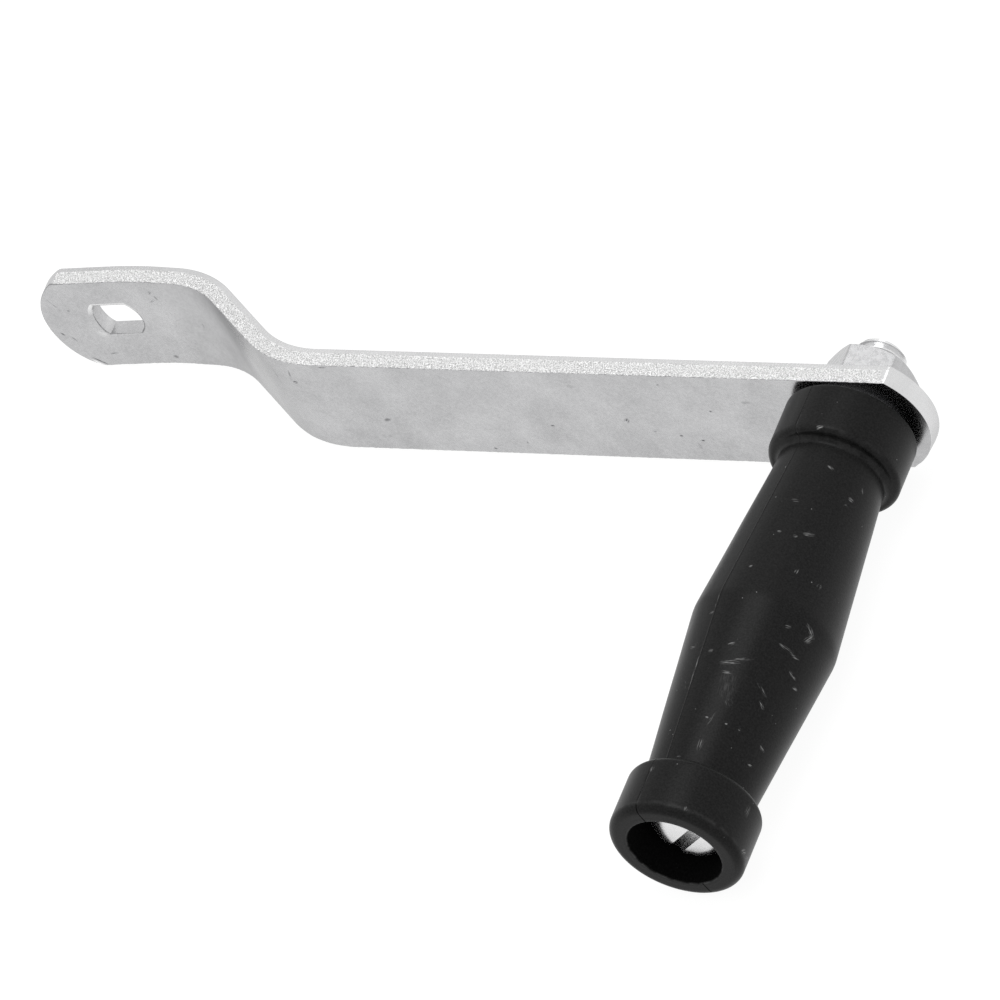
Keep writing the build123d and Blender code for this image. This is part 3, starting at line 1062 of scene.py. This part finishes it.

    # rims, in patches of 3 mm: painted highlights as faint bands at the start of
    # the inner collar's rounding, at its fillet into the neck and round the outer
    # end, and a rubbed fine line at the recess's mouth
    patchy = add(
        tree, "ShaderNodeTexNoise", {"Vector": skin, "Scale": 0.35, "Detail": 4, "Roughness": 0.65}
    ).outputs[0]
    patchy = add(tree, "ShaderNodeMapRange", {0: patchy, 1: 0.4, 2: 0.7}).outputs[0]
    rim_highlights_and_rubs = (
        (station, inner_station + inner_collar - 0.9, 0.8, 0.05, on_outside),
        (station, inner_station + inner_collar + 0.7, 1.6, 0.05, on_outside),
        (station, outer_station - 1.9, 0.8, 0.09, on_outside),
        (radius, recess_radius + 0.2, 0.3, 0.2, on_end),
    )
    for reading, middle, half_width, strength, where in rim_highlights_and_rubs:
        off_rim = add(
            tree, "ShaderNodeMath", {0: reading, 1: middle}, operation="SUBTRACT"
        ).outputs[0]
        off_rim = add(tree, "ShaderNodeMath", {0: off_rim}, operation="ABSOLUTE").outputs[0]
        rim_highlight_and_rub = add(
            tree, "ShaderNodeMapRange", {0: off_rim, 1: 0.0, 2: half_width, 3: strength, 4: 0.0}
        ).outputs[0]
        for mask in (patchy, where):
            rim_highlight_and_rub = add(tree, "ShaderNodeMath", {0: rim_highlight_and_rub, 1: mask}, operation="MULTIPLY").outputs[0]
        wear = add(tree, "ShaderNodeMath", {0: wear, 1: rim_highlight_and_rub}, operation="MAXIMUM").outputs[0]

    # a film of dust and handling all over the skin, in flecks of 0.7 mm
    film = add(
        tree, "ShaderNodeTexNoise", {"Vector": skin, "Scale": 1.5, "Detail": 4, "Roughness": 0.75}
    ).outputs[0]
    film = add(
        tree, "ShaderNodeMapRange", {0: film, 1: 0.45, 2: 0.75, 3: 0.0, 4: 0.018}
    ).outputs[0]
    wear = add(tree, "ShaderNodeMath", {0: wear, 1: film}, operation="MAXIMUM").outputs[0]

    # the mould's grain, drawn 0.4 mm across so that it shows, on the outside skin
    # only: the recess and the inner face are painted a plain near-black as
    # painted shade, and are dead matt
    mould_grain = add(
        tree, "ShaderNodeTexNoise", {"Vector": place, "Scale": 2.6 / mm, "Detail": 2}
    ).outputs[0]
    tone = add(tree, "ShaderNodeMapRange", {0: mould_grain, 1: 0.36, 2: 0.64}).outputs[0]
    grained = add(
        tree,
        "ShaderNodeMix",
        {0: tone, 6: linear("#0a0a0a"), 7: linear("#1a1a1a")},
        data_type="RGBA",
    ).outputs[2]
    outside_painted_shade = add(
        tree, "ShaderNodeMapRange", {0: radius, 1: recess_radius, 2: recess_radius + 0.3}
    ).outputs[0]
    outside_painted_shade = add(
        tree, "ShaderNodeMath", {0: outside_painted_shade, 1: off_inner_face}, operation="MULTIPLY"
    ).outputs[0]
    # painted shade: the recess and the inner face take the darkest black
    grain_and_painted_shade = add(
        tree, "ShaderNodeMix", {0: outside_painted_shade, 6: linear("#0a0a0a"), 7: grained}, data_type="RGBA"
    ).outputs[2]
    colour = add(
        tree, "ShaderNodeMix", {0: wear, 6: grain_and_painted_shade, 7: linear("#a0a0a0")}, data_type="RGBA"
    ).outputs[2]
    gloss = add(tree, "ShaderNodeMapRange", {0: outside_painted_shade, 3: 0.85, 4: 0.34}).outputs[0]
    shine = add(tree, "ShaderNodeMapRange", {0: outside_painted_shade, 3: 0.02, 4: 0.115}).outputs[0]
    bump = add(
        tree, "ShaderNodeBump", {"Height": mould_grain, "Strength": 0.22, "Distance": 0.1 * mm}
    ).outputs[0]
    plastic = add(
        tree,
        "ShaderNodeBsdfPrincipled",
        {
            "Base Color": colour,
            "Roughness": gloss,
            "IOR": 1.49,
            "Specular IOR Level": shine,
            "Normal": bump,
        },
    )
    tree.links.new(plastic.outputs[0], output.inputs[0])
    return material


finish("spinning_grip", grip, [black_plastic()], "grip", "grip")


# -------------------------------------------- the setting
# A white table top under the crank as it lies on its side, white all round, a
# broad soft lamp overhead, a weaker and wider one from the hub's side, and the
# camera.
floor_width = 8
floor_level = min(arm_low.z, grip_low.z) - 0.05
bpy.ops.mesh.primitive_plane_add(size=floor_width, location=(0.1, 0, floor_level * mm))
floor = bpy.context.object
floor.name = "floor"


def white_to_the_eye(tree):
    """1 for rays from the camera, reflections and glass, 0 for lighting."""
    path = add(tree, "ShaderNodeLightPath").outputs
    seen = path["Is Camera Ray"]
    for kind in ("Is Glossy Ray", "Is Transmission Ray"):
        seen = add(tree, "ShaderNodeMath", {0: seen, 1: path[kind]}, operation="ADD").outputs[0]
    return seen


# the table lights the crank as pale laminate does; to the eye it glows white
# with a darker top over the glow, so that the crank's shadow still shows
laminate, tree, output = new_material("matt white laminate")
lit = add(tree, "ShaderNodeBsdfDiffuse", {"Color": linear("#e8e8e8")}).outputs[0]
shadow = add(tree, "ShaderNodeBsdfDiffuse", {"Color": linear("#6c6c6c")}).outputs[0]
white = add(tree, "ShaderNodeEmission", {"Color": (1, 1, 1, 1), "Strength": 0.93}).outputs[0]
shown = add(tree, "ShaderNodeAddShader", {0: shadow, 1: white}).outputs[0]
surface = add(tree, "ShaderNodeMixShader", {0: white_to_the_eye(tree), 1: lit, 2: shown})
tree.links.new(surface.outputs[0], output.inputs[0])
floor.data.materials.append(laminate)

world = bpy.data.worlds.new("studio")
bpy.context.scene.world = world
world.use_nodes = True
tree = world.node_tree
tree.nodes.clear()
output = add(tree, "ShaderNodeOutputWorld")
strength = add(tree, "ShaderNodeMapRange", {0: white_to_the_eye(tree), 3: 0.7, 4: 1})
sky = add(tree, "ShaderNodeBackground", {"Color": (1, 1, 1, 1), "Strength": strength.outputs[0]})
tree.links.new(sky.outputs[0], output.inputs[0])

aim = Vector((0.1244, -0.0543, 0))
azimuth, elevation, roll = (math.radians(angle) for angle in (42.72, 42.735, -29.81))
camera_distance = 2.016
camera = bpy.data.objects.new("camera", bpy.data.cameras.new("camera"))
camera.data.lens = 321.0
camera.data.sensor_width = 36
turned = Matrix.Rotation(azimuth, 4, "Z") @ Matrix.Rotation(math.pi / 2 - elevation, 4, "X")
backed_off = Matrix.Translation(aim) @ turned @ Matrix.Translation((0, 0, camera_distance))
camera.matrix_world = backed_off @ Matrix.Rotation(roll, 4, "Z")
bpy.context.scene.collection.objects.link(camera)
bpy.context.scene.camera = camera

# each lamp's name, direction, width and power
lamp_distance = 1.6
lamps = (
    ("overhead lamp", (0.1, 0.2, 0.97), 1.1, 7.5),
    ("side lamp", (-0.78, -0.2, 0.6), 2.2, 1.5),
)
for name, toward, width, watts in lamps:
    lamp = bpy.data.objects.new(name, bpy.data.lights.new(name, "AREA"))
    lamp.data.shape = "DISK"
    lamp.data.size = width
    lamp.data.energy = watts
    toward = Vector(toward).normalized()
    facing = toward.to_track_quat("Z", "Y").to_matrix().to_4x4()
    lamp.matrix_world = Matrix.Translation(aim + toward * lamp_distance) @ facing
    bpy.context.scene.collection.objects.link(lamp)

bpy.context.scene.view_settings.view_transform = "Standard"
